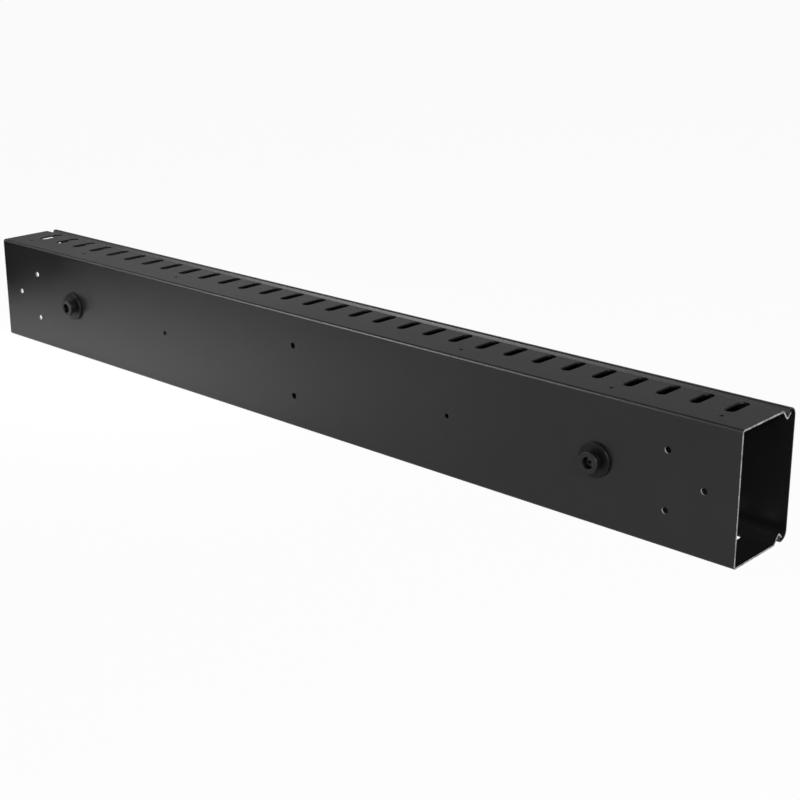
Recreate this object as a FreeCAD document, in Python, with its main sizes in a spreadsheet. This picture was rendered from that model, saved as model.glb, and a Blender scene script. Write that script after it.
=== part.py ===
"""Vertical cable manager for a server rack, built as a FreeCAD document in millimetres.

A folded sheet-steel trough carries two turned mounting buttons on its back panel and a clip-on cover
whose hooked lips ride in a V-shaped groove along the far edge of each side wall.

+X runs along the trough, +Y from the back panel towards the cover, and +Z is up as the part lies on one
side wall. The origin is the centre of the back panel's outer face.
"""
import FreeCAD, Part
import math
import os
import Sketcher
from FreeCAD import Placement, Rotation, Vector

# Driving dimensions: millimetres, degrees and counts
SIZES = {
    # Trough
    "channel_length": 914.0,
    "channel_height": 107.0,
    "wall_flat_depth": 56.2,
    "trough_sheet": 1.5,
    "trough_bend_radius": 1.0,
    "groove_depth": 6.8,
    "groove_lead_angle": 50.0,
    "groove_return_angle": 45.0,
    "rail_return": 4.6,
    # Tie slots in both side walls
    "slot_pitch": 29.475,
    "slot_width": 9.0,
    "slot_length": 27.2,
    "slot_front_margin": 0.6,
    "slot_end_margin": 20.0,
    # Round holes in the back panel and in both side walls
    "mounting_hole": 5.5,
    "inner_hole": 4.2,
    "wall_hole": 3.6,
    "end_hole_inset": 28.0,
    "paired_hole_inset": 60.0,
    "paired_hole_gap": 47.7,
    "inner_hole_spacing": 367.0,
    "wall_hole_setback": 11.0,
    # Clip-on cover
    "cover_sheet": 1.2,
    "cover_side_gap": 0.2,
    "cover_rail_gap": 5.2,
    "cover_corner_radius": 7.6,
    "cover_flange": 0.6,
    "cover_lip_radius": 0.6,
    "cover_lip_turn": 65.0,
    "cover_groove_gap": 0.3,
    # Mounting buttons
    "button_spacing": 666.75,
    "button_height": 10.3,
    "button_flange": 28.4,
    "button_flange_thickness": 2.5,
    "button_neck_wall": 1.7,
    "button_head_ledge": 2.25,
    "button_head_thickness": 2.8,
    "button_floor": 3.3,
    "button_edge_break": 0.5,
    # Screws, lock washers and nuts that hold the buttons
    "screw_diameter": 5.0,
    "screw_head_ledge": 1.75,
    "screw_head_height": 3.5,
    "screw_head_clearance": 0.55,
    "screw_hole_clearance": 0.15,
    "screw_thread_gap": 0.05,
    "screw_tip": 0.4,
    "screw_edge_break": 0.4,
    "socket_across_flats": 3.0,
    "socket_depth": 2.0,
    "washer_rim": 2.25,
    "washer_thickness": 0.8,
    "washer_teeth": 10,
    "washer_notch_width": 1.4,
    "washer_notch_depth": 1.4,
    "nut_wall": 1.5,
    "nut_height": 4.0,
    "nut_chamfer_angle": 30.0,
}

# Lengths that several pieces share, worked out from the driving dimensions
HALF_HEIGHT = "Sizes.channel_height / 2"
TROUGH_OUTER_RADIUS = "(Sizes.trough_bend_radius + Sizes.trough_sheet)"
SLOT_BACK = "(Sizes.wall_flat_depth - Sizes.slot_front_margin - Sizes.slot_length)"
SLOT_COUNT = (
    "floor((Sizes.channel_length - 2 * Sizes.slot_end_margin - Sizes.slot_width)"
    " / Sizes.slot_pitch) + 1"
)
SCREW_HOLE_RADIUS = "(Sizes.screw_diameter / 2 + Sizes.screw_hole_clearance)"
SCREW_HEAD_RADIUS = "(Sizes.screw_diameter / 2 + Sizes.screw_head_ledge)"
COUNTERBORE_RADIUS = "(%s + Sizes.screw_head_clearance)" % SCREW_HEAD_RADIUS
NECK_RADIUS = "(%s + Sizes.button_neck_wall)" % COUNTERBORE_RADIUS
WASHER_SEAT = "Sizes.trough_sheet"
NUT_SEAT = "(Sizes.trough_sheet + Sizes.washer_thickness)"
SCREW_END = "(%s + Sizes.nut_height + Sizes.screw_tip)" % NUT_SEAT
# The centre of the groove's bottom bend, from the back panel's face and from the plane of symmetry
GROOVE_CENTRE_DEPTH = (
    "(Sizes.wall_flat_depth + ((2 * Sizes.trough_bend_radius + Sizes.trough_sheet)"
    " * (1 - cos(Sizes.groove_lead_angle)) + Sizes.groove_depth * cos(Sizes.groove_lead_angle))"
    " / sin(Sizes.groove_lead_angle))"
)
GROOVE_CENTRE_HEIGHT = "(%s - Sizes.groove_depth + Sizes.trough_bend_radius)" % HALF_HEIGHT
# The rail's outermost corner, and the cover's outer face beyond it
RAIL_TIP_DEPTH = (
    "(%s + %s * sin(Sizes.groove_return_angle) + Sizes.rail_return * cos(Sizes.groove_return_angle))"
    % (GROOVE_CENTRE_DEPTH, TROUGH_OUTER_RADIUS)
)
COVER_FACE_DEPTH = "(%s + Sizes.cover_rail_gap + Sizes.cover_sheet)" % RAIL_TIP_DEPTH

# Sketcher's numbers for the two sketch axes, the origin and the points of an edge
HORIZONTAL_AXIS, VERTICAL_AXIS = range(-1, -3, -1)
ORIGIN = HORIZONTAL_AXIS
START, END, CENTRE = range(1, 4)

doc = FreeCAD.newDocument("VerticalCableManager")
sheet = doc.addObject("Spreadsheet::Sheet", "Sizes")
for row, (alias, value) in enumerate(SIZES.items(), start=1):
    sheet.set("A%d" % row, alias)
    sheet.set("B%d" % row, str(value))
    sheet.setAlias("B%d" % row, alias)
doc.recompute()


def worth(expression):
    """Work out an expression of the sheet's dimensions."""
    return float(sheet.evalExpression(expression))


def new_body(label):
    """Start one sub-part, whose label names its file."""
    body = doc.addObject("PartDesign::Body", label)
    body.Label = label
    return body


def origin_plane(body, role):
    """Find one of the body's own origin planes."""
    return next(plane for plane in body.Origin.OriginFeatures if plane.Role == role)


def new_sketch(body, name, role):
    """Put an empty sketch on one of the body's origin planes."""
    sketch = body.newObject("Sketcher::SketchObject", body.Label + "_" + name)
    sketch.AttachmentSupport = [(origin_plane(body, role), "")]
    sketch.MapMode = "FlatFace"
    return sketch


def fix(sketch, kind, *places):
    """Add a constraint with no number, such as Horizontal, Tangent or Coincident."""
    sketch.addConstraint(Sketcher.Constraint(kind, *places))


def drive(sketch, expression, kind, *places):
    """Add a dimension to a sketch and drive it by an expression."""
    value = worth(expression)
    if kind == "Angle":
        value = math.radians(value)
    index = sketch.addConstraint(Sketcher.Constraint(kind, *places, value))
    sketch.renameConstraint(index, "size_%d" % index)
    sketch.setExpression("Constraints.size_%d" % index, expression)


def drive_offset(sketch, expression, direction, side, edge, point):
    """Drive a point's distance from the origin along X or Y, on the side given by a sign."""
    if side > 0:
        drive(sketch, expression, "Distance" + direction, ORIGIN, START, edge, point)
    else:
        drive(sketch, expression, "Distance" + direction, edge, point, ORIGIN, START)


def add_feature(body, kind, name, profile=None):
    """Add a PartDesign feature to a body, on a sketch where it takes one."""
    feature = body.newObject("PartDesign::" + kind, body.Label + "_" + name)
    if profile is not None:
        feature.Profile = profile
    return feature


def cut(body, kind, name, sketch):
    """Add a cut that goes through all of the body, and stop if it removes nothing."""
    doc.recompute()
    before = body.Shape.Volume
    feature = add_feature(body, kind, name, sketch)
    if kind == "Pocket":
        feature.Type = "ThroughAll"
        feature.SideType = "Symmetric"
    else:
        feature.ReferenceAxis = (sketch, ["V_Axis"])
        feature.Angle = 360
    doc.recompute()
    if not feature.Shape.Volume < before:
        raise RuntimeError(feature.Name + " removed nothing")
    return feature


def parallel_corners(corners, gap):
    """Give the corners of a line that runs beside another, a distance to its left."""
    ahead = [(end - start).normalize() for start, end in zip(corners, corners[1:])]
    left = [Vector(-way.y, way.x, 0) for way in ahead]
    mitres = [before + after for before, after in zip(left[:1] + left, left + left[-1:])]
    return [corner + mitre * (2 * gap / mitre.dot(mitre)) for corner, mitre in zip(corners, mitres)]


def draw_bent_line(sketch, corners, radii):
    """Draw a line with a tangent arc at each inner corner, and give its straights and its arcs."""
    straights = []
    arcs = []
    start = corners[0]
    for before, corner, after, radius in zip(corners, corners[1:], corners[2:], radii):
        way_in = (corner - before).normalize()
        way_out = (after - corner).normalize()
        turn = math.atan2(way_in.cross(way_out).z, way_in.dot(way_out))
        reach = radius * math.tan(abs(turn) / 2)
        arc_ends = [corner - way_in * reach, corner + way_out * reach]
        side = Vector(-way_in.y, way_in.x, 0) * math.copysign(radius, turn)
        centre = arc_ends[0] + side
        straights.append(sketch.addGeometry(Part.LineSegment(start, arc_ends[0])))
        start = arc_ends[1]
        first, last = (START, END) if turn > 0 else (END, START)
        if turn < 0:
            arc_ends.reverse()
        angles = [math.atan2(end.y - centre.y, end.x - centre.x) for end in arc_ends]
        circle = Part.Circle(centre, Vector(0, 0, 1), radius)
        arcs.append((sketch.addGeometry(Part.ArcOfCircle(circle, *angles)), first, last))
    straights.append(sketch.addGeometry(Part.LineSegment(start, corners[-1])))
    for (arc, first, last), line_in, line_out in zip(arcs, straights, straights[1:]):
        fix(sketch, "Tangent", line_in, END, arc, first)
        fix(sketch, "Tangent", arc, last, line_out, START)
    return straights, [arc for arc, first, last in arcs]


def draw_folded_sheet(sketch, corners, thickness, bends):
    """Draw half of a folded sheet's profile, from the plane of symmetry to its free edge.

    The corners are those of its outer face, near enough for the constraints to finish. The sheet lies to
    their left, or to their right where thickness is negative. Each bend gives the expressions of its
    radius on the outer and on the inner face, and both arcs share one centre.
    """
    outer, outer_arcs = draw_bent_line(sketch, corners, [worth(radius) for radius, other in bends])
    inner_corners = parallel_corners(corners, thickness)
    inner, inner_arcs = draw_bent_line(sketch, inner_corners, [worth(radius) for other, radius in bends])
    for (outer_radius, inner_radius), outer_arc, inner_arc in zip(bends, outer_arcs, inner_arcs):
        fix(sketch, "Coincident", outer_arc, CENTRE, inner_arc, CENTRE)
        drive(sketch, outer_radius, "Radius", outer_arc)
        drive(sketch, inner_radius, "Radius", inner_arc)
    for end, outer_line, inner_line in ((START, outer[0], inner[0]), (END, outer[-1], inner[-1])):
        ends = (sketch.getPoint(outer_line, end), sketch.getPoint(inner_line, end))
        edge = sketch.addGeometry(Part.LineSegment(*ends))
        fix(sketch, "Coincident", edge, START, outer_line, end)
        fix(sketch, "Coincident", edge, END, inner_line, end)
    fix(sketch, "Vertical", outer[0])
    fix(sketch, "Vertical", inner[0])
    fix(sketch, "PointOnObject", outer[0], START, HORIZONTAL_AXIS)
    fix(sketch, "PointOnObject", inner[0], START, HORIZONTAL_AXIS)
    fix(sketch, "Horizontal", outer[1])
    fix(sketch, "Parallel", outer[-1], inner[-1])
    fix(sketch, "Perpendicular", outer[-1], edge)
    return outer, inner, outer_arcs


def fold_up(body, sketch):
    """Draw half a profile out to the channel's length, then mirror it into the whole sheet."""
    pad = add_feature(body, "Pad", "half", sketch)
    pad.SideType = "Symmetric"
    pad.setExpression("Length", "Sizes.channel_length")
    mirrored = add_feature(body, "Mirrored", "whole")
    mirrored.Originals = [pad]
    mirrored.MirrorPlane = (origin_plane(body, "XY_Plane"), [""])
    body.Tip = mirrored
    doc.recompute()


def join_points(sketch, points):
    """Draw a closed chain of lines through points, joined end to start."""
    lines = [
        sketch.addGeometry(Part.LineSegment(point, following))
        for point, following in zip(points, points[1:] + points[:1])
    ]
    for line, following in zip(lines, lines[1:] + lines[:1]):
        fix(sketch, "Coincident", line, END, following, START)
    return lines


def draw_driven_outline(sketch, corners):
    """Draw a closed outline through driven corners, each given as its X and side, then its Y and side."""
    points = [
        Vector(worth(across) * across_side, worth(along) * along_side, 0)
        for across, across_side, along, along_side in corners
    ]
    for line, (across, across_side, along, along_side) in zip(join_points(sketch, points), corners):
        drive_offset(sketch, across, "X", across_side, line, START)
        drive_offset(sketch, along, "Y", along_side, line, START)


def draw_hole(sketch, diameter, across, across_side, along, along_side):
    """Draw one driven circle; a side of 0 puts its centre on that sketch axis."""
    places = (
        (across, across_side, "X", VERTICAL_AXIS),
        (along, along_side, "Y", HORIZONTAL_AXIS),
    )
    guess = Vector(worth(across) * across_side, worth(along) * along_side, 0)
    circle = sketch.addGeometry(Part.Circle(guess, Vector(0, 0, 1), worth(diameter) / 2))
    drive(sketch, diameter, "Diameter", circle)
    for expression, side, direction, axis in places:
        if side == 0:
            fix(sketch, "PointOnObject", circle, CENTRE, axis)
        else:
            drive_offset(sketch, expression, direction, side, circle, CENTRE)


def cut_tie_slots(body):
    """Cut the first tie slot through both side walls and repeat it along them."""
    sketch = new_sketch(body, "slot_outline", "XY_Plane")
    left = "((%s - 1) * Sizes.slot_pitch / 2 + Sizes.slot_width / 2)" % SLOT_COUNT
    right = "%s - Sizes.slot_width" % left
    front = "%s + Sizes.slot_length" % SLOT_BACK
    draw_driven_outline(sketch, [
        (left, -1, SLOT_BACK, 1),
        (right, -1, SLOT_BACK, 1),
        (right, -1, front, 1),
        (left, -1, front, 1),
    ])
    slot = cut(body, "Pocket", "slot", sketch)
    pattern = add_feature(body, "LinearPattern", "slots")
    pattern.Originals = [slot]
    pattern.Direction = (sketch, ["H_Axis"])
    pattern.Mode = "Spacing"
    pattern.setExpression("Offset", "Sizes.slot_pitch")
    pattern.setExpression("Occurrences", SLOT_COUNT)
    body.Tip = pattern
    doc.recompute()


def make_trough():
    """Fold the trough from one sheet: back panel, side walls and the V-shaped clip rails."""
    body = new_body("trough")
    profile = new_sketch(body, "profile", "YZ_Plane")
    half = worth(HALF_HEIGHT)
    depth = worth("Sizes.wall_flat_depth")
    lead = math.radians(worth("Sizes.groove_lead_angle"))
    rise = math.radians(worth("Sizes.groove_return_angle"))
    fold = Vector(depth + worth(TROUGH_OUTER_RADIUS) * math.tan(lead / 2), half, 0)
    groove = worth("Sizes.groove_depth") + worth("Sizes.trough_bend_radius") / 2
    bottom = fold + Vector(groove / math.tan(lead), -groove, 0)
    reach = worth("Sizes.rail_return") + worth("Sizes.trough_bend_radius")
    tip = bottom + Vector(math.cos(rise), math.sin(rise), 0) * reach
    corners = [Vector(0, 0, 0), Vector(0, half, 0), fold, bottom, tip]
    outward = (TROUGH_OUTER_RADIUS, "Sizes.trough_bend_radius")
    inward = ("Sizes.trough_bend_radius", TROUGH_OUTER_RADIUS)
    thickness = -worth("Sizes.trough_sheet")
    outer, _, arcs = draw_folded_sheet(profile, corners, thickness, [outward, outward, inward])
    back_panel, wall, lead_leg, return_leg = outer
    fix(profile, "PointOnObject", back_panel, END, VERTICAL_AXIS)
    drive_offset(profile, HALF_HEIGHT, "Y", 1, wall, START)
    drive_offset(profile, "Sizes.wall_flat_depth", "X", 1, wall, END)
    drive(profile, GROOVE_CENTRE_DEPTH, "DistanceX", ORIGIN, START, arcs[-1], CENTRE)
    drive(profile, GROOVE_CENTRE_HEIGHT, "DistanceY", ORIGIN, START, arcs[-1], CENTRE)
    drive(profile, "Sizes.groove_return_angle", "Angle", HORIZONTAL_AXIS, START, return_leg, START)
    drive(profile, "Sizes.rail_return", "Distance", return_leg)
    fold_up(body, profile)

    cut_tie_slots(body)

    back_holes = new_sketch(body, "back_holes", "XZ_Plane")
    end_x = "Sizes.channel_length / 2 - Sizes.end_hole_inset"
    paired_x = "Sizes.channel_length / 2 - Sizes.paired_hole_inset"
    paired_z = "Sizes.paired_hole_gap / 2"
    inner_x = "Sizes.inner_hole_spacing / 2"
    button_x = "Sizes.button_spacing / 2"
    for side in (-1, 1):
        draw_hole(back_holes, "Sizes.mounting_hole", end_x, side, "0", 0)
        draw_hole(back_holes, "Sizes.inner_hole", inner_x, side, "0", 0)
        draw_hole(back_holes, "2 * " + SCREW_HOLE_RADIUS, button_x, side, "0", 0)
        draw_hole(back_holes, "Sizes.mounting_hole", "0", 0, paired_z, side)
        for other_side in (-1, 1):
            draw_hole(back_holes, "Sizes.mounting_hole", paired_x, side, paired_z, other_side)
    cut(body, "Pocket", "panel_holes", back_holes)

    wall_holes = new_sketch(body, "wall_holes", "XY_Plane")
    wall_hole_y = "%s - Sizes.wall_hole_setback" % SLOT_BACK
    for side in (-1, 1):
        for across in (end_x, button_x, inner_x):
            draw_hole(wall_holes, "Sizes.wall_hole", across, side, wall_hole_y, 1)
    cut(body, "Pocket", "side_holes", wall_holes)
    return body


def make_cover():
    """Fold the cover from one sheet: plate, rounded corners and the lips that hook into the grooves."""
    body = new_body("cover")
    profile = new_sketch(body, "profile", "YZ_Plane")
    half = worth(HALF_HEIGHT) - worth("Sizes.cover_side_gap")
    face = worth(COVER_FACE_DEPTH)
    thickness = worth("Sizes.cover_sheet")
    turn = math.radians(180 + worth("Sizes.cover_lip_turn"))
    lip_bend = worth("Sizes.cover_lip_radius + Sizes.cover_sheet")
    half_turn = math.radians(worth("Sizes.cover_lip_turn") / 2)
    lip_depth = face - worth("Sizes.cover_corner_radius + Sizes.cover_flange")
    lip_corner = Vector(lip_depth - lip_bend * math.tan(half_turn), half, 0)
    lip_end = lip_corner + Vector(math.cos(turn), math.sin(turn), 0) * worth("Sizes.groove_depth")
    corners = [Vector(face, 0, 0), Vector(face, half, 0), lip_corner, lip_end]
    bends = [
        ("Sizes.cover_corner_radius", "Sizes.cover_corner_radius - Sizes.cover_sheet"),
        ("Sizes.cover_lip_radius + Sizes.cover_sheet", "Sizes.cover_lip_radius"),
    ]
    outer, inner, _ = draw_folded_sheet(profile, corners, thickness, bends)
    plate, flange, lip = outer
    drive_offset(profile, COVER_FACE_DEPTH, "X", 1, plate, END)
    drive_offset(profile, HALF_HEIGHT + " - Sizes.cover_side_gap", "Y", 1, flange, START)
    drive(profile, "Sizes.cover_flange", "Distance", flange)
    drive(profile, "180 + Sizes.cover_lip_turn", "Angle", HORIZONTAL_AXIS, START, lip, START)

    # The lip stops short of the face of the rail's return leg, drawn here as a construction line
    tilt = "Sizes.groove_return_angle"
    radius = "Sizes.trough_bend_radius"
    foot_depth = "%s + %s * sin(%s)" % (GROOVE_CENTRE_DEPTH, radius, tilt)
    foot_height = "%s - %s * cos(%s)" % (GROOVE_CENTRE_HEIGHT, radius, tilt)
    foot = Vector(worth(foot_depth), worth(foot_height), 0)
    way = Vector(worth("cos(%s)" % tilt), worth("sin(%s)" % tilt), 0)
    rail_face = profile.addGeometry(Part.LineSegment(foot, foot + way * worth("Sizes.rail_return")), True)
    drive_offset(profile, foot_depth, "X", 1, rail_face, START)
    drive_offset(profile, foot_height, "Y", 1, rail_face, START)
    drive(profile, tilt, "Angle", HORIZONTAL_AXIS, START, rail_face, START)
    drive(profile, "Sizes.rail_return", "Distance", rail_face)
    drive(profile, "Sizes.cover_groove_gap", "Distance", inner[-1], END, rail_face)
    fold_up(body, profile)
    return body


def draw_turned_profile(sketch, corners):
    """Draw a closed stepped outline through corners given as pairs of expressions, radius then height."""
    points = [Vector(worth(radius), worth(height), 0) for radius, height in corners]
    for line, (radius, height), point in zip(join_points(sketch, points), corners, points):
        if point.x == 0:
            fix(sketch, "PointOnObject", line, START, VERTICAL_AXIS)
        else:
            drive(sketch, radius, "DistanceX", ORIGIN, START, line, START)
        if point.y == 0:
            fix(sketch, "PointOnObject", line, START, HORIZONTAL_AXIS)
        else:
            drive(sketch, height, "DistanceY", ORIGIN, START, line, START)


def turn_piece(body, corners):
    """Turn a piece on its own vertical axis from a stepped outline."""
    sketch = new_sketch(body, "profile", "XZ_Plane")
    draw_turned_profile(sketch, corners)
    turned = add_feature(body, "Revolution", "turned", sketch)
    turned.ReferenceAxis = (sketch, ["V_Axis"])
    turned.Angle = 360
    doc.recompute()
    return turned


def rims(shape, radius, height):
    """Name the circular edges of one radius at one height."""
    return [
        "Edge%d" % number
        for number, edge in enumerate(shape.Edges, start=1)
        if isinstance(edge.Curve, Part.Circle)
        and math.isclose(edge.Curve.Radius, radius)
        and math.isclose(edge.Curve.Center.z, height)
    ]


def chamfer_rims(body, base, size, edges):
    """Chamfer the named edges of a feature."""
    chamfer = add_feature(body, "Chamfer", "edges")
    chamfer.Base = (base, edges)
    chamfer.setExpression("Size", size)
    doc.recompute()


def draw_hexagon(sketch, across_flats):
    """Draw a regular hexagon about the origin, driven by its size across two flats."""
    flat_radius = worth(across_flats) / 2
    corner_radius = flat_radius / math.cos(math.pi / 6)
    points = [
        Vector(corner_radius * math.cos(step * math.pi / 3), corner_radius * math.sin(step * math.pi / 3), 0)
        for step in range(6)
    ]
    sides = join_points(sketch, points)
    circle = sketch.addGeometry(Part.Circle(Vector(0, 0, 0), Vector(0, 0, 1), corner_radius), True)
    fix(sketch, "Coincident", circle, CENTRE, ORIGIN, START)
    for side in sides:
        fix(sketch, "PointOnObject", side, START, circle)
    for side in sides[1:]:
        fix(sketch, "Equal", sides[0], side)
    fix(sketch, "PointOnObject", sides[0], START, HORIZONTAL_AXIS)
    drive(sketch, "%s / (2 * cos(30))" % across_flats, "Radius", circle)


def stand_off_panel(body, side, depth):
    """Stand a fastener piece on a button's axis, its own +Z pointing out of the back panel."""
    body.Placement = Placement(Vector(0, 0, 0), Rotation(Vector(1, 0, 0), 90))
    body.setExpression("Placement.Base.x", "%d * Sizes.button_spacing / 2" % side)
    body.setExpression("Placement.Base.y", depth)


def make_button(label, side):
    """Turn a mounting button: a flange on the panel, a neck and a head, counterbored for its screw."""
    body = new_body(label)
    flange_radius = "Sizes.button_flange / 2"
    flange_top = "Sizes.button_flange_thickness"
    head_radius = "%s + Sizes.button_head_ledge" % NECK_RADIUS
    head_bottom = "Sizes.button_height - Sizes.button_head_thickness"
    top = "Sizes.button_height"
    turned = turn_piece(body, [
        (SCREW_HOLE_RADIUS, "0"),
        (flange_radius, "0"),
        (flange_radius, flange_top),
        (NECK_RADIUS, flange_top),
        (NECK_RADIUS, head_bottom),
        (head_radius, head_bottom),
        (head_radius, top),
        (COUNTERBORE_RADIUS, top),
        (COUNTERBORE_RADIUS, "Sizes.button_floor"),
        (SCREW_HOLE_RADIUS, "Sizes.button_floor"),
    ])
    edges = rims(turned.Shape, worth(flange_radius), worth(flange_top))
    edges += rims(turned.Shape, worth(head_radius), worth(head_bottom))
    edges += rims(turned.Shape, worth(head_radius), worth(top))
    chamfer_rims(body, turned, "Sizes.button_edge_break", edges)
    stand_off_panel(body, side, "0")
    return body


def make_screw(label, side):
    """Turn a low-head socket screw, whose head sits on the floor of the button's counterbore."""
    body = new_body(label)
    shank_radius = "Sizes.screw_diameter / 2"
    shank_top = "%s + Sizes.button_floor" % SCREW_END
    top = "%s + Sizes.screw_head_height" % shank_top
    turned = turn_piece(body, [
        ("0", "0"),
        ("%s - Sizes.screw_edge_break" % shank_radius, "0"),
        (shank_radius, "Sizes.screw_edge_break"),
        (shank_radius, shank_top),
        (SCREW_HEAD_RADIUS, shank_top),
        (SCREW_HEAD_RADIUS, top),
        ("0", top),
    ])
    edges = rims(turned.Shape, worth(SCREW_HEAD_RADIUS), worth(top))
    chamfer_rims(body, turned, "Sizes.screw_edge_break", edges)
    socket = new_sketch(body, "socket_outline", "XY_Plane")
    socket.setExpression("AttachmentOffset.Base.z", top)
    draw_hexagon(socket, "Sizes.socket_across_flats")
    doc.recompute()
    before = body.Shape.Volume
    pocket = add_feature(body, "Pocket", "socket", socket)
    pocket.setExpression("Length", "Sizes.socket_depth")
    doc.recompute()
    if not pocket.Shape.Volume < before:
        raise RuntimeError(pocket.Name + " removed nothing")
    stand_off_panel(body, side, SCREW_END)
    return body


def make_lock_washer(label, side):
    """Stamp an externally toothed lock washer, which bites through the paint under the nut."""
    body = new_body(label)
    outline = new_sketch(body, "outline", "XY_Plane")
    rim_radius = "(%s + Sizes.washer_rim)" % SCREW_HOLE_RADIUS
    draw_hole(outline, "2 * " + rim_radius, "0", 0, "0", 0)
    draw_hole(outline, "2 * " + SCREW_HOLE_RADIUS, "0", 0, "0", 0)
    pad = add_feature(body, "Pad", "ring", outline)
    pad.setExpression("Length", "Sizes.washer_thickness")
    notch = new_sketch(body, "notch_outline", "XY_Plane")
    draw_notch(notch, rim_radius)
    pocket = cut(body, "Pocket", "notch", notch)
    teeth = add_feature(body, "PolarPattern", "teeth")
    teeth.Originals = [pocket]
    teeth.Axis = (notch, ["N_Axis"])
    teeth.Angle = 360
    teeth.setExpression("Occurrences", "Sizes.washer_teeth")
    body.Tip = teeth
    stand_off_panel(body, side, NUT_SEAT)
    return body


def draw_notch(sketch, rim_radius):
    """Draw the gap between two of a lock washer's teeth, open at the rim."""
    bottom = "%s - Sizes.washer_notch_depth" % rim_radius
    top = "%s + Sizes.washer_notch_depth" % rim_radius
    half_width = "Sizes.washer_notch_width / 2"
    draw_driven_outline(sketch, [
        (bottom, 1, half_width, -1),
        (top, 1, half_width, -1),
        (top, 1, half_width, 1),
        (bottom, 1, half_width, 1),
    ])


def make_nut(label, side):
    """Cut a hexagon nut with its corners chamfered on both faces."""
    body = new_body(label)
    outline = new_sketch(body, "outline", "XY_Plane")
    across_flats = "(Sizes.screw_diameter + 2 * Sizes.nut_wall)"
    draw_hexagon(outline, across_flats)
    draw_hole(outline, "Sizes.screw_diameter + 2 * Sizes.screw_thread_gap", "0", 0, "0", 0)
    pad = add_feature(body, "Pad", "hexagon", outline)
    pad.setExpression("Length", "Sizes.nut_height")
    chamfer = new_sketch(body, "chamfer_profile", "XZ_Plane")
    inside = "%s / 2" % across_flats
    outside = "(%s / (2 * cos(30)) + Sizes.nut_wall)" % across_flats
    rise = "(%s - %s) * tan(Sizes.nut_chamfer_angle)" % (outside, inside)
    draw_turned_profile(chamfer, [(inside, "0"), (outside, "0"), (outside, rise)])
    draw_turned_profile(chamfer, [
        (inside, "Sizes.nut_height"),
        (outside, "Sizes.nut_height"),
        (outside, "Sizes.nut_height - " + rise),
    ])
    cut(body, "Groove", "chamfer", chamfer)
    stand_off_panel(body, side, "%s + Sizes.nut_height" % NUT_SEAT)
    return body


pieces = [make_trough(), make_cover()]
for name, side in (("left", -1), ("right", 1)):
    pieces.append(make_button("mount_button_" + name, side))
    pieces.append(make_screw("button_screw_" + name, side))
    pieces.append(make_lock_washer("lock_washer_" + name, side))
    pieces.append(make_nut("hex_nut_" + name, side))
doc.recompute()

for item in doc.Objects:
    if "Invalid" in item.State or "Error" in item.State:
        raise RuntimeError("%s could not be worked out" % item.Name)
for piece in pieces:
    if piece.Shape.isNull() or not piece.Shape.isValid():
        raise RuntimeError("%s has no valid shape" % piece.Label)

os.makedirs("parts", exist_ok=True)
for piece in pieces:
    piece.Shape.exportStep("parts/%s.step" % piece.Label)
    print("%-20s %2d solid, %9.0f mm3" % (piece.Label, len(piece.Shape.Solids), piece.Shape.Volume))
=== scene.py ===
import math

import bmesh
import bpy
from mathutils import Matrix, Vector


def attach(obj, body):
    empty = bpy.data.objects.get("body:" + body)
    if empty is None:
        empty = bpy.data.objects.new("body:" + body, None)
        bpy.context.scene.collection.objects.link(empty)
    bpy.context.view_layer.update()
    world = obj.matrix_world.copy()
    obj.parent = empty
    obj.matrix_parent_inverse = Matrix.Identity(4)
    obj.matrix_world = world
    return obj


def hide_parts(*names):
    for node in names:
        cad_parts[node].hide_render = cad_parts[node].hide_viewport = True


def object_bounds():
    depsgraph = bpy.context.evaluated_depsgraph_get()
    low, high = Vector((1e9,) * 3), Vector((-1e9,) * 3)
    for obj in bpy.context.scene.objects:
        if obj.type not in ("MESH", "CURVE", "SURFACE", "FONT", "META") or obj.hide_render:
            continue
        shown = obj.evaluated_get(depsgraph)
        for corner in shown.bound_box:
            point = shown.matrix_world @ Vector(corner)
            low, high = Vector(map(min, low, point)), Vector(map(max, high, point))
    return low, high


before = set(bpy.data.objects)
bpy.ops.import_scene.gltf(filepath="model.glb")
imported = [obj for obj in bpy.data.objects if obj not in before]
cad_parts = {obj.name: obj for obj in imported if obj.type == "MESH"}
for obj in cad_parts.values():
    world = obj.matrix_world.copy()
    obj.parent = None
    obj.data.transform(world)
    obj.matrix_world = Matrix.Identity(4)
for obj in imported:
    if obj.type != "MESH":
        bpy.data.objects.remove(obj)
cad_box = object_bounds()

MM = 0.001
# Corners closer than MERGED become one, and an edge's middle within NEAR of a place counts as there
MERGED = 0.001 * MM
NEAR = 0.01 * MM

# View. The photograph was taken with a long lens from beyond the right-hand end of the channel,
# a little above it, so that the back panel, the top wall and the open end all show.
camera_data = bpy.data.cameras.new("camera")
camera_data.sensor_width = 36
camera_data.lens = 68.22
camera_data.shift_x = 0.0113
camera_data.shift_y = -0.0478
camera = bpy.data.objects.new("camera", camera_data)
camera.matrix_world = (
    Matrix.Translation((0.9577, -0.8949, 0.4147))
    @ Matrix.Rotation(math.radians(43.079), 4, "Z")
    @ Matrix.Rotation(math.radians(90 - 17.27), 4, "X")
    @ Matrix.Rotation(math.radians(-0.3), 4, "Z")
)
bpy.context.collection.objects.link(camera)
bpy.context.scene.camera = camera
bpy.context.scene.view_settings.view_transform = "Standard"


# Floor and background. A white paper sweep in a grey room: the camera sees both as plain white. The
# gloss of the coating sees the sweep, pale at its foot, and a room that is lighter in front and dark
# at the far left.
def linear(colour):
    """Turn an sRGB hex colour into linear light with an alpha of 1."""
    parts = [int(colour[place:place + 2], 16) / 255 for place in (1, 3, 5)]
    return [part / 12.92 if part <= 0.04045 else ((part + 0.055) / 1.055) ** 2.4 for part in parts] + [1]


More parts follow.
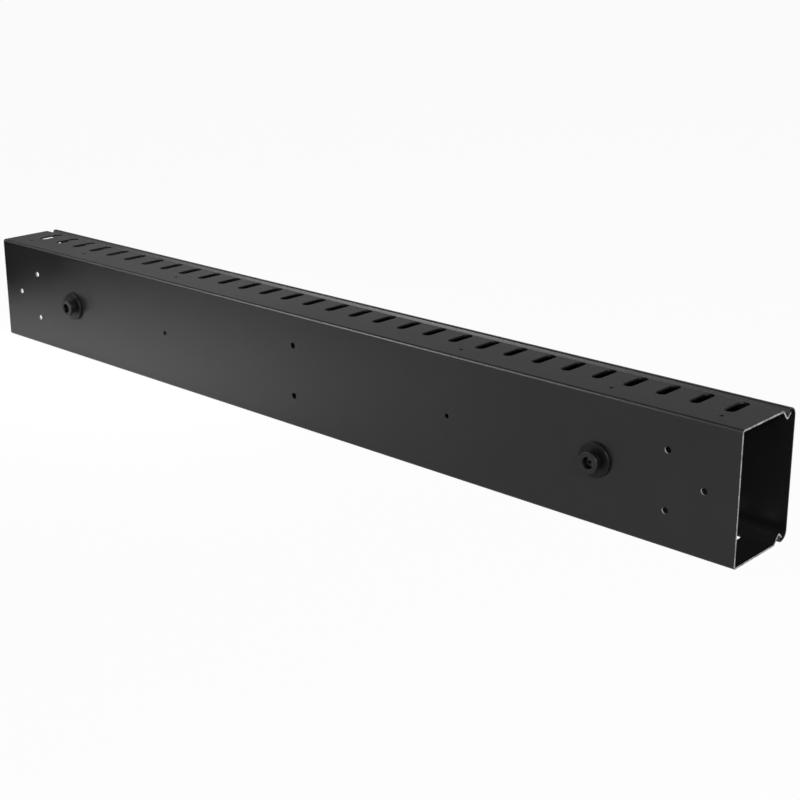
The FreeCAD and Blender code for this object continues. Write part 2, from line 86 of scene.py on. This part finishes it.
def add_node(tree, kind, inputs, **settings):
    """Add a shader node with its settings; each input takes a value or the socket that feeds it."""
    node = tree.nodes.new("ShaderNode" + kind)
    for name, value in settings.items():
        setattr(node, name, value)
    for name, value in inputs.items():
        if isinstance(value, bpy.types.NodeSocket):
            tree.links.new(value, node.inputs[name])
        else:
            node.inputs[name].default_value = value
    return node


def add_ramp(tree, share, stops):
    """Add a colour ramp that runs through the stops, each a place from 0 to 1 and an sRGB hex colour."""
    ramp = add_node(tree, "ValToRGB", {"Fac": share})
    first, *between, last = stops
    for element, (place, colour) in zip(ramp.color_ramp.elements, (first, last)):
        element.position = place
        element.color = linear(colour)
    for place, colour in between:
        ramp.color_ramp.elements.new(place).color = linear(colour)
    return ramp


def new_material(name):
    """Start a material with an empty node tree."""
    material = bpy.data.materials.new(name)
    material.use_nodes = True
    material.node_tree.nodes.clear()
    return material, material.node_tree


def deselect():
    """Leave nothing selected."""
    bpy.ops.object.select_all(action="DESELECT")


# How far the paper turns plain white for the camera, and for gloss
camera_white = 0.95
gloss_white = 0.06
paper, tree = new_material("white_paper_sweep")
path = add_node(tree, "LightPath", {})
clear = add_node(tree, "Math", {
    0: path.outputs["Is Camera Ray"], 1: path.outputs["Is Transmission Ray"],
}, operation="MAXIMUM")
clear = add_node(tree, "Math", {0: clear.outputs[0], 1: camera_white}, operation="MULTIPLY")
gloss = add_node(tree, "Math", {
    0: path.outputs["Is Glossy Ray"], 1: gloss_white,
}, operation="MULTIPLY")
share = add_node(tree, "Math", {0: clear.outputs[0], 1: gloss.outputs[0]}, operation="MAXIMUM")
lit = add_node(tree, "BsdfDiffuse", {"Color": linear("#f2f2f2")})
white = add_node(tree, "Emission", {"Color": linear("#ffffff"), "Strength": 1.0})
mixed = add_node(tree, "MixShader", {0: share.outputs[0], 1: lit.outputs[0], 2: white.outputs[0]})
add_node(tree, "OutputMaterial", {"Surface": mixed.outputs[0]})

deselect()
bpy.ops.mesh.primitive_plane_add(size=14, location=(0, 0, cad_box[0][2]))
floor = bpy.context.object
floor.name = "floor"
floor.data.materials.append(paper)

world = bpy.data.worlds.new("studio")
bpy.context.scene.world = world
world.use_nodes = True
tree = world.node_tree
tree.nodes.clear()
path = add_node(tree, "LightPath", {})
clear = add_node(tree, "Math", {
    0: path.outputs["Is Camera Ray"], 1: path.outputs["Is Transmission Ray"],
}, operation="MAXIMUM")
way = add_node(tree, "SeparateXYZ", {0: add_node(tree, "TexCoord", {}).outputs["Generated"]})
rise = add_ramp(tree, way.outputs["Z"], (
    (0, "#ffffff"), (0.08, "#f4f4f4"), (0.15, "#a4a4a4"), (0.22, "#989898"), (0.34, "#7c7c7c"),
    (0.6, "#787878"), (1, "#606060"),
))
# A Mix node of colours takes its share at socket 0 and the colours at 6 and 7, and gives socket 2
front = add_node(tree, "MapRange", {"Value": way.outputs["Y"], "From Min": 0.05, "From Max": -0.3})
front = add_node(tree, "Mix", {
    0: front.outputs["Result"], 6: rise.outputs["Color"], 7: linear("#d0d0d0"),
}, data_type="RGBA")
left = add_node(tree, "MapRange", {
    "Value": way.outputs["X"], "From Min": -0.77, "From Max": -0.9, "To Max": 0.85,
})
left = add_node(tree, "Mix", {
    0: left.outputs["Result"], 6: front.outputs[2], 7: linear("#000000"),
}, data_type="RGBA")
room = add_node(tree, "Mix", {
    0: path.outputs["Is Glossy Ray"], 6: linear("#606060"), 7: left.outputs[2],
}, data_type="RGBA")
seen = add_node(tree, "Mix", {
    0: clear.outputs[0], 6: room.outputs[2], 7: linear("#ffffff"),
}, data_type="RGBA")
sky = add_node(tree, "Background", {"Color": seen.outputs[2], "Strength": 1.0})
add_node(tree, "OutputWorld", {"Surface": sky.outputs[0]})


# Lamps and flag. A softbox beyond the right-hand end lights the cut edges and the inside, and a strip
# lights the sweep that the back panel mirrors. Seen by gloss alone, two softboxes on the left draw the
# lines of light along the bends, and a black flag lying there darkens the panel's far corner.
def add_softbox(name, place, target, size, power):
    """Hang a softbox of a width and a height that faces a point, and give it its power in watts."""
    data = bpy.data.lights.new(name, "AREA")
    data.shape = "RECTANGLE"
    data.size, data.size_y = size
    data.energy = power
    lamp = bpy.data.objects.new(name, data)
    lamp.location = place
    lamp.rotation_euler = (Vector(target) - Vector(place)).to_track_quat("-Z", "Y").to_euler()
    bpy.context.collection.objects.link(lamp)
    return lamp


add_softbox("end_softbox", place=(2.4, -0.8, 1.2), target=(0.457, 0, 0), size=(0.9, 0.9), power=62)
paper_strip = add_softbox(
    "paper_strip_softbox", place=(-0.32, -0.03, 0.2), target=(-0.32, -0.03, 0), size=(0.5, 0.1), power=1.05
)
paper_strip.visible_glossy = False
high_softbox = add_softbox(
    "high_softbox", place=(-1.48, -1.19, 1.45), target=(-1.62, 0, 0), size=(0.75, 0.55), power=17
)
low_softbox = add_softbox(
    "low_softbox", place=(-1.46, -1.52, 0.85), target=(0, 0, 0), size=(0.8, 0.8), power=10
)
high_softbox.visible_diffuse = low_softbox.visible_diffuse = False

black_cloth, tree = new_material("black_flag_cloth")
cloth = add_node(tree, "BsdfDiffuse", {"Color": linear("#0c0c0c")})
add_node(tree, "OutputMaterial", {"Surface": cloth.outputs[0]})
deselect()
bpy.ops.mesh.primitive_plane_add(size=1, location=(-1.10, -0.54, cad_box[0][2] + 1 * MM))
flag = bpy.context.object
flag.name = "black_flag"
flag.data.materials.append(black_cloth)
flag.visible_camera = flag.visible_diffuse = flag.visible_shadow = flag.visible_transmission = False


# Powder coat. Black polyester powder, sprayed on and baked: a satin film about 0.08 mm thick that
# dries in a fine orange-peel, a little deeper in gloss and shade in some places than in others.
coat, tree = new_material("black_powder_coat")
place = add_node(tree, "TexCoord", {}).outputs["Object"]
# Orange-peel cells are about 1.2 mm across, and the powder's grains about a quarter of that
peel = add_node(tree, "TexNoise", {"Vector": place, "Scale": 820.0, "Detail": 2.0, "Roughness": 0.45})
grain = add_node(tree, "TexNoise", {"Vector": place, "Scale": 3200.0, "Detail": 1.0})
film = add_node(tree, "TexNoise", {"Vector": place, "Scale": 9.0, "Detail": 3.0, "Roughness": 0.6})
shade = add_ramp(tree, film.outputs["Fac"], ((0.3, "#141415"), (0.75, "#1b1b1c")))
gloss = add_node(tree, "MapRange", {
    "Value": film.outputs["Fac"], "From Min": 0.3, "From Max": 0.7, "To Min": 0.28, "To Max": 0.34,
})
bumps = add_node(tree, "Bump", {"Height": peel.outputs["Fac"], "Strength": 0.10, "Distance": 0.0002})
bumps = add_node(tree, "Bump", {
    "Height": grain.outputs["Fac"], "Strength": 0.06, "Distance": 0.0001, "Normal": bumps.outputs["Normal"],
})
surface = add_node(tree, "BsdfPrincipled", {
    "Base Color": shade.outputs["Color"], "Roughness": gloss.outputs["Result"], "IOR": 1.5,
    "Normal": bumps.outputs["Normal"],
})
add_node(tree, "OutputMaterial", {"Surface": surface.outputs["BSDF"]})

# The powder draws back from a sheared edge as it melts, so pale steel shows through it there. On the walls
# of the panel's outermost holes the same pale finish is a painted highlight.
cut_edge_and_highlight, tree = new_material("thin_coat_on_sheared_steel_and_painted_highlight")
place = add_node(tree, "TexCoord", {}).outputs["Object"]
wear = add_node(tree, "TexNoise", {"Vector": place, "Scale": 240.0, "Detail": 3.0, "Roughness": 0.6})
shade = add_ramp(tree, wear.outputs["Fac"], ((0.35, "#6f7072"), (0.65, "#a9abad")))
surface = add_node(tree, "BsdfPrincipled", {
    "Base Color": shade.outputs["Color"], "Roughness": 0.45, "Metallic": 0.3,
})
add_node(tree, "OutputMaterial", {"Surface": surface.outputs["BSDF"]})


# Trough. One length of 1.5 mm cold-rolled steel sheet, punched flat and then folded on a press brake:
# a back panel, two slotted walls, and along the far edge of each wall a V-shaped groove that the cover
# clips into. The outer face is drawn first, then folded, thickened inwards, punched and deburred.
def select_edges(wanted):
    """In edit mode, select the edges whose middle and direction the test accepts."""
    bpy.ops.mesh.select_mode(type="EDGE")
    bpy.ops.mesh.select_all(action="DESELECT")
    mesh = bpy.context.object.data
    shape = bmesh.from_edit_mesh(mesh)
    for edge in shape.edges:
        start, end = (corner.co for corner in edge.verts)
        edge.select = wanted((start + end) / 2, (end - start).normalized())
    shape.select_flush_mode()
    bmesh.update_edit_mesh(mesh)


def select_fold(depth, height):
    """In edit mode, select the edge along X whose middle has a depth and a height."""
    fold = Vector((0, depth, height))
    select_edges(lambda middle, way: abs(way.x) > 0.9 and (middle - fold).length < NEAR)


def add_modifier(piece, kind, **settings):
    """Give a piece a modifier and apply it."""
    modifier = piece.modifiers.new(kind.lower(), kind)
    for name, value in settings.items():
        setattr(modifier, name, value)
    deselect()
    piece.select_set(True)
    bpy.context.view_layer.objects.active = piece
    bpy.ops.object.modifier_apply(modifier=modifier.name)


def fold_sheet(name, length, corners, bends, thickness, finishes):
    """Fold a sheet about Z = 0 from its outer face's corners, given as depth and height.

    Each bend gives its outer face's radius and how far it turns. The sheet's thickness goes inwards,
    and its cut edges take the last of the finishes.
    """
    deselect()
    bpy.ops.mesh.primitive_plane_add(size=1, rotation=(math.pi / 2, 0, 0))
    sheet = bpy.context.object
    sheet.name = name
    for finish in finishes:
        sheet.data.materials.append(finish)
    sheet.scale = (length, 2 * corners[0][1], 1)
    sheet.location = (0, corners[0][0], 0)
    bpy.ops.object.transform_apply(location=True, rotation=True, scale=True)
    bpy.ops.object.mode_set(mode="EDIT")
    for (depth, height), (next_depth, next_height) in zip(corners, corners[1:]):
        for side in (1, -1):
            select_fold(depth, side * height)
            step = (0, next_depth - depth, side * (next_height - height))
            bpy.ops.mesh.extrude_edges_move(TRANSFORM_OT_translate={"value": step})
    for (depth, height), (radius, turn) in zip(corners, bends):
        for side in (1, -1):
            select_fold(depth, side * height)
            reach = radius * math.tan(math.radians(turn) / 2)
            bpy.ops.mesh.bevel(
                offset=reach, offset_type="OFFSET", segments=8, affect="EDGES", clamp_overlap=False
            )
    bpy.ops.mesh.select_all(action="SELECT")
    bpy.ops.mesh.remove_doubles(threshold=MERGED)
    bpy.ops.mesh.normals_make_consistent(inside=False)
    shape = bmesh.from_edit_mesh(sheet.data)
    panel = max(shape.faces, key=lambda face: face.calc_area())
    outwards = -1 if corners[0][0] < corners[1][0] else 1
    if panel.normal.y * outwards < 0:
        bpy.ops.mesh.flip_normals()
    bpy.ops.object.mode_set(mode="OBJECT")
    add_modifier(
        sheet, "SOLIDIFY", thickness=thickness, offset=-1, use_even_offset=True, use_quality_normals=True,
        material_offset_rim=len(finishes) - 1,
    )
    return sheet


def add_cutter(sides, radius, place, axis, depth):
    """Add a drill: a cylinder through a point, about Y or Z."""
    turn = {"Y": math.pi / 2, "Z": 0}[axis]
    deselect()
    bpy.ops.mesh.primitive_cylinder_add(
        vertices=sides, radius=radius, depth=depth, location=place, rotation=(turn, 0, 0)
    )
    return bpy.context.object


def punch(piece, cutters, finish=None):
    """Join the cutters into one and take it out of a piece, whose cut faces get the finish if given."""
    deselect()
    for cutter in cutters:
        cutter.select_set(True)
    bpy.context.view_layer.objects.active = cutters[0]
    bpy.ops.object.join()
    tool = bpy.context.object
    if finish:
        tool.data.materials.append(finish)
    mode = "TRANSFER" if finish else "INDEX"
    add_modifier(piece, "BOOLEAN", object=tool, operation="DIFFERENCE", solver="EXACT", material_mode=mode)
    bpy.data.objects.remove(tool)


def soften(piece, width, steps, angle):
    """Break a piece's sharp edges and shade it by its flats."""
    add_modifier(
        piece, "BEVEL", width=width, segments=steps, limit_method="ANGLE", angle_limit=math.radians(angle),
        use_clamp_overlap=True, harden_normals=False,
    )
    bpy.ops.object.shade_smooth_by_angle(angle=math.radians(angle))
    add_modifier(piece, "WEIGHTED_NORMAL", keep_sharp=True, weight=100)


channel_length = cad_box[1][0] - cad_box[0][0]
half_height = 53.5 * MM
wall_depth = 57.366 * MM
valley_depth = 63.471 * MM
valley_height = 46.224 * MM
rail_depth = 67.50 * MM
rail_height = 50.25 * MM
fold_radius = 2.5 * MM
valley_radius = 1.0 * MM
trough_gauge = 1.5 * MM
trough = fold_sheet(
    "trough_sheet",
    channel_length,
    [(0, half_height), (wall_depth, half_height), (valley_depth, valley_height), (rail_depth, rail_height)],
    [(fold_radius, 90), (fold_radius, 50), (valley_radius, 95)],
    trough_gauge,
    [coat, cut_edge_and_highlight],
)

slot_count = 30
slot_pitch = 29.475 * MM
slot_width = 9.0 * MM
slot_length = 27.2 * MM
slot_middle = 42.0 * MM
past_both_walls = 130 * MM
deselect()
bpy.ops.mesh.primitive_cube_add(size=1, location=(-(slot_count - 1) / 2 * slot_pitch, slot_middle, 0))
slot_tool = bpy.context.object
slot_tool.scale = (slot_width, slot_length, past_both_walls)
bpy.ops.object.transform_apply(location=True, rotation=True, scale=True)
bpy.ops.object.mode_set(mode="EDIT")
select_edges(lambda middle, way: abs(way.z) > 0.9)
# Just under half the width, so that the rounded corners meet in a round end
bpy.ops.mesh.bevel(offset=0.499 * slot_width, segments=6, affect="EDGES")
bpy.ops.object.mode_set(mode="OBJECT")
add_modifier(
    slot_tool, "ARRAY", count=slot_count, use_relative_offset=False, use_constant_offset=True,
    constant_offset_displace=(slot_pitch, 0, 0),
)

# The holes' places and radii, in millimetres from the panel's centre
inner_hole_x = 183.5
screw_hole_x = 333.375
paired_hole_x = 397
paired_hole_z = 23.85
end_hole_x = 429
wall_hole_depth = 17.4
mounting_radius = 2.75
inner_radius = 2.1
screw_hole_radius = 2.65
wall_hole_radius = 1.8
past_panel = 8
panel_holes = [
    (0, paired_hole_z, mounting_radius),
    (inner_hole_x, 0, inner_radius),
    (screw_hole_x, 0, screw_hole_radius),
    (paired_hole_x, paired_hole_z, mounting_radius),
    (end_hole_x, 0, mounting_radius),
]
# The coat covers the walls of the slots and of the nearer holes. The panel's holes past this distance get
# the pale sheared-edge finish instead, as a painted highlight on their walls.
highlighted_holes_from = 390
coated_tools, highlighted_hole_tools = [slot_tool], []
# A set names a hole on a centre line once
for across, up, radius in panel_holes:
    for x in {across, -across}:
        for z in {up, -up}:
            drill = add_cutter(40, radius * MM, (x * MM, 0, z * MM), "Y", past_panel * MM)
            (coated_tools if across < highlighted_holes_from else highlighted_hole_tools).append(drill)
for across in (inner_hole_x, screw_hole_x, end_hole_x):
    for x in (across, -across):
        place = (x * MM, wall_hole_depth * MM, 0)
        coated_tools.append(add_cutter(32, wall_hole_radius * MM, place, "Z", past_both_walls))
punch(trough, coated_tools, coat)
# Pale walls on the outermost panel holes: a painted highlight
punch(trough, highlighted_hole_tools, cut_edge_and_highlight)
soften(trough, width=0.16 * MM, steps=2, angle=32)


def finish_piece(piece, material, node, body):
    """Give a piece its material if it has none, hide the CAD part it stands for, and hang it on the body it
    rides with.
    """
    if not piece.data.materials:
        piece.data.materials.append(material)
    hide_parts(node)
    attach(piece, body)


finish_piece(trough, coat, "trough", "channel")


# Cover. A second sheet, 1.2 mm thick and coated the same way, folded to a shallow tray whose two lips
# turn back inwards and hook into the trough's grooves, so it slides along them or clips on and off.
cover_depth = 74.96 * MM
cover_half_height = 53.3 * MM
lip_depth = 65.613 * MM
lip_end_depth = 63.06 * MM
lip_end_height = 47.83 * MM
cover_radius = 7.6 * MM
lip_radius = 1.8 * MM
cover_gauge = 1.2 * MM
# The same coat under another name, because the cover has a slot of its own
cover_coat = coat.copy()
cover_coat.name = "black_powder_coat_cover"
cover = fold_sheet(
    "cover_sheet",
    channel_length,
    [(cover_depth, cover_half_height), (lip_depth, cover_half_height), (lip_end_depth, lip_end_height)],
    [(cover_radius, 90), (lip_radius, 65)],
    cover_gauge,
    [cover_coat],
)
soften(cover, width=0.14 * MM, steps=2, angle=32)
finish_piece(cover, cover_coat, "cover", "cover")


# Mounting buttons. Turned from steel bar and blackened: a thin wide flange against the panel, a neck that a
# rack's keyhole slides over, and a head with a counterbore for the screw. The flange and neck are given a
# lower specular level than the head, as painted shade.
def extend_rim(x, start, end):
    """Extrude the selected rim from one radius and depth to the next, about a line along Y."""
    (radius, depth), (next_radius, next_depth) = start, end
    bpy.ops.mesh.extrude_edges_move(TRANSFORM_OT_translate={"value": (0, (next_depth - depth) * MM, 0)})
    growth = next_radius / radius
    bpy.ops.transform.resize(value=(growth, 1, growth), center_override=(x, next_depth * MM, 0))


def turn_outline(name, x, outline, sides):
    """Turn an outline of radii and depths about a line along Y, and stay in edit mode."""
    deselect()
    radius, depth = outline[0]
    bpy.ops.mesh.primitive_circle_add(
        vertices=sides, radius=radius * MM, location=(x, depth * MM, 0), rotation=(math.pi / 2, 0, 0)
    )
    piece = bpy.context.object
    piece.name = name
    bpy.ops.object.transform_apply(location=True, rotation=True, scale=True)
    bpy.ops.object.mode_set(mode="EDIT")
    bpy.ops.mesh.select_all(action="SELECT")
    for start, end in zip(outline, outline[1:]):
        extend_rim(x, start, end)
    return piece


def turn_hollow(name, x, outline, sides=72):
    """Turn a hollow piece, whose outline closes on itself."""
    piece = turn_outline(name, x, outline + outline[:1], sides)
    bpy.ops.mesh.select_all(action="SELECT")
    bpy.ops.mesh.remove_doubles(threshold=MERGED)
    bpy.ops.mesh.normals_make_consistent(inside=False)
    bpy.ops.object.mode_set(mode="OBJECT")
    return piece


def round_rims(piece, x, rims, width, steps):
    """Bevel the round edges at the given radii and depths."""
    # The middle of an edge lies inside the circle that the edge is a chord of, by less than this
    chord_sag = 0.03 * MM
    bpy.context.view_layer.objects.active = piece
    bpy.ops.object.mode_set(mode="EDIT")

    def on_rim(middle, way):
        reach = math.hypot(middle.x - x, middle.z)
        return abs(way.y) < 0.1 and any(
            abs(reach - radius * MM) < chord_sag and abs(middle.y - depth * MM) < NEAR
            for radius, depth in rims
        )

    select_edges(on_rim)
    bpy.ops.mesh.bevel(offset=width * MM, segments=steps, affect="EDGES")
    bpy.ops.object.mode_set(mode="OBJECT")


blackened, tree = new_material("blackened_turned_steel")
place = add_node(tree, "TexCoord", {}).outputs["Object"]
film = add_node(tree, "TexNoise", {"Vector": place, "Scale": 160.0, "Detail": 3.0})
shade = add_ramp(tree, film.outputs["Fac"], ((0, "#080808"), (1, "#0e0e0f")))
grit = add_node(tree, "TexNoise", {"Vector": place, "Scale": 2600.0, "Detail": 2.0})
bumps = add_node(tree, "Bump", {"Height": grit.outputs["Fac"], "Strength": 0.08, "Distance": 0.0001})
# The low specular level dims the flange and neck below the head, as painted shade for the head's shadow and
# reflection on them
surface = add_node(tree, "BsdfPrincipled", {
    "Base Color": shade.outputs["Color"], "Roughness": 0.4, "IOR": 1.5, "Normal": bumps.outputs["Normal"],
    "Specular IOR Level": 0.27,
})
add_node(tree, "OutputMaterial", {"Surface": surface.outputs["BSDF"]})

# The head keeps the full specular level and shows brighter than the flange and neck, whose dimmer copy is
# painted shade
brighter_head_copy = blackened.copy()
brighter_head_copy.name = "blackened_turned_steel_brighter_head"
brighter_head_copy.node_tree.nodes["Principled BSDF"].inputs["Specular IOR Level"].default_value = 0.5

button_x = screw_hole_x * MM
flange_radius = 14.2
flange_face = -2.5
neck_radius = 6.5
head_radius = 8.75
head_back = -7.5
head_face = -10.3
counterbore_radius = 4.8
counterbore_seat = -3.3
button_places = (("left", -button_x), ("right", button_x))
for side, x in button_places:
    button = turn_hollow("mounting_button_" + side, x, [
        (screw_hole_radius, 0), (flange_radius, 0), (flange_radius, flange_face),
        (neck_radius, flange_face), (neck_radius, head_back), (head_radius, head_back),
        (head_radius, head_face), (counterbore_radius, head_face),
        (counterbore_radius, counterbore_seat), (screw_hole_radius, counterbore_seat),
    ])
    wide_rims = [(flange_radius, flange_face), (head_radius, head_back), (head_radius, head_face)]
    round_rims(button, x, wide_rims, width=0.5, steps=4)
    round_rims(button, x, [(flange_radius, 0), (counterbore_radius, head_face)], width=0.2, steps=2)
    bpy.ops.object.shade_smooth_by_angle(angle=math.radians(32))
    button.data.materials.append(blackened)
    button.data.materials.append(brighter_head_copy)
    # The head is what lies outwards of its back
    # The head takes the brighter copy, and the flange and neck stay dimmed as painted shade
    for face in button.data.polygons:
        face.material_index = int(face.center.y < (head_back + 0.1) * MM)
    finish_piece(button, blackened, "mount_button_" + side, "channel")


# Button screws. Low-head socket screws of black-oxide steel; each head sits in its button's
# counterbore, and the shank goes through the panel into the washer and nut behind it.
def turn_solid(name, x, outline, sides=64):
    """Turn a solid piece, whose open outline is closed by a clean cap at each end."""
    piece = turn_outline(name, x, outline, sides)
    bpy.ops.mesh.select_mode(type="EDGE")
    bpy.ops.mesh.select_all(action="DESELECT")
    bpy.ops.mesh.select_non_manifold()
    bpy.ops.mesh.fill_holes(sides=0)
    bpy.ops.mesh.select_all(action="SELECT")
    bpy.ops.mesh.normals_make_consistent(inside=False)
    bpy.ops.object.mode_set(mode="OBJECT")
    return piece


def hexagon_radius(flats):
    """Give a hexagon's corner radius from its width across flats."""
    return flats / 2 / math.cos(math.pi / 6)


oxide, tree = new_material("black_oxide_steel")
place = add_node(tree, "TexCoord", {}).outputs["Object"]
film = add_node(tree, "TexNoise", {"Vector": place, "Scale": 300.0, "Detail": 3.0})
shade = add_ramp(tree, film.outputs["Fac"], ((0, "#121214"), (1, "#1c1c1f")))
surface = add_node(tree, "BsdfPrincipled", {
    "Base Color": shade.outputs["Color"], "Roughness": 0.3, "IOR": 1.7,
})
add_node(tree, "OutputMaterial", {"Surface": surface.outputs["BSDF"]})

screw_head_radius = 4.25
screw_head_face = -6.8
shank_radius = 2.5
shank_end = 6.3
tip_radius = 2.1
tip_end = 6.7
socket_flats = 3
socket_depth = 2
for side, x in button_places:
    screw = turn_solid("socket_screw_" + side, x, [
        (screw_head_radius, screw_head_face), (screw_head_radius, counterbore_seat),
        (shank_radius, counterbore_seat), (shank_radius, shank_end), (tip_radius, tip_end),
    ])
    round_rims(screw, x, [(screw_head_radius, screw_head_face)], width=0.4, steps=3)
    place = (x, screw_head_face * MM, 0)
    punch(screw, [add_cutter(6, hexagon_radius(socket_flats) * MM, place, "Y", 2 * socket_depth * MM)])
    bpy.ops.object.shade_smooth_by_angle(angle=math.radians(32))
    finish_piece(screw, oxide, "button_screw_" + side, "channel")


# Lock washers. Stamped from spring steel and zinc plated: a thin ring whose ten outer teeth are
# twisted, so that they bite through the coating when the nut is tightened.
zinc, tree = new_material("zinc_plated_steel")
place = add_node(tree, "TexCoord", {}).outputs["Object"]
film = add_node(tree, "TexNoise", {"Vector": place, "Scale": 420.0, "Detail": 4.0, "Roughness": 0.6})
shade = add_ramp(tree, film.outputs["Fac"], ((0, "#a9acb2"), (1, "#c9cbc8")))
gloss = add_node(tree, "MapRange", {"Value": film.outputs["Fac"], "To Min": 0.28, "To Max": 0.44})
surface = add_node(tree, "BsdfPrincipled", {
    "Base Color": shade.outputs["Color"], "Metallic": 1.0, "Roughness": gloss.outputs["Result"],
})
add_node(tree, "OutputMaterial", {"Surface": surface.outputs["BSDF"]})

tooth_count = 10
tooth_pitch = 360 / tooth_count
tooth_turn = tooth_pitch * 2 / 3
washer_sheet = 0.5
washer_twist = 0.15
washer_depth = 1.9
washer_bore = 2.65
washer_root = 3.5
washer_reach = 4.9
for side, x in button_places:
    inner_rim, tooth_roots, tooth_tips = [
        (radius, washer_depth) for radius in (washer_bore, washer_root, washer_reach)
    ]
    washer = turn_outline("toothed_washer_" + side, x, [inner_rim, tooth_roots], 6 * tooth_count)

    def in_tooth(middle, way):
        reach = math.hypot(middle.x - x, middle.z)
        turn = math.degrees(math.atan2(middle.z, middle.x - x)) % tooth_pitch
        return reach > 0.97 * washer_root * MM and turn < tooth_turn

    select_edges(in_tooth)
    extend_rim(x, tooth_roots, tooth_tips)
    shape = bmesh.from_edit_mesh(washer.data)
    for corner in shape.verts:
        if math.hypot(corner.co.x - x, corner.co.z) > 0.9 * washer_reach * MM:
            turn = math.degrees(math.atan2(corner.co.z, corner.co.x - x)) % tooth_pitch
            corner.co.y += washer_twist * MM * (turn / tooth_turn * 2 - 1)
    bmesh.update_edit_mesh(washer.data)
    bpy.ops.mesh.select_all(action="SELECT")
    bpy.ops.mesh.normals_make_consistent(inside=False)
    bpy.ops.object.mode_set(mode="OBJECT")
    add_modifier(washer, "SOLIDIFY", thickness=washer_sheet * MM, offset=0)
    soften(washer, width=0.05 * MM, steps=1, angle=40)
    finish_piece(washer, zinc, "lock_washer_" + side, "channel")


# Hexagon nuts. Cold-formed and zinc plated, 8 mm across flats, with the corners of both faces
# chamfered and a threaded bore, drawn plain, that the screw's tip just passes.
nut_flats = 8
nut_back = 2.3
nut_face = 6.3
nut_middle = (nut_back + nut_face) / 2
nut_bore = 2.55
chamfer_radius = 3.95
chamfer_reach = 4.65
chamfer_step = 0.4
past_nut = 6
for side, x in button_places:
    deselect()
    bpy.ops.mesh.primitive_cylinder_add(
        vertices=6, radius=hexagon_radius(nut_flats) * MM, depth=(nut_face - nut_back) * MM,
        location=(x, nut_middle * MM, 0), rotation=(math.pi / 2, 0, 0),
    )
    nut = bpy.context.object
    nut.name = "hexagon_nut_" + side
    bpy.ops.object.transform_apply(location=True, rotation=True, scale=True)
    chamfer = turn_solid("chamfer_tool", x, [
        (chamfer_radius, nut_back), (chamfer_reach, nut_back + chamfer_step),
        (chamfer_reach, nut_face - chamfer_step), (chamfer_radius, nut_face),
    ])
    add_modifier(nut, "BOOLEAN", object=chamfer, operation="INTERSECT", solver="EXACT")
    bpy.data.objects.remove(chamfer)
    punch(nut, [add_cutter(48, nut_bore * MM, (x, nut_middle * MM, 0), "Y", past_nut * MM)])
    soften(nut, width=0.08 * MM, steps=2, angle=24)
    finish_piece(nut, zinc, "hex_nut_" + side, "channel")
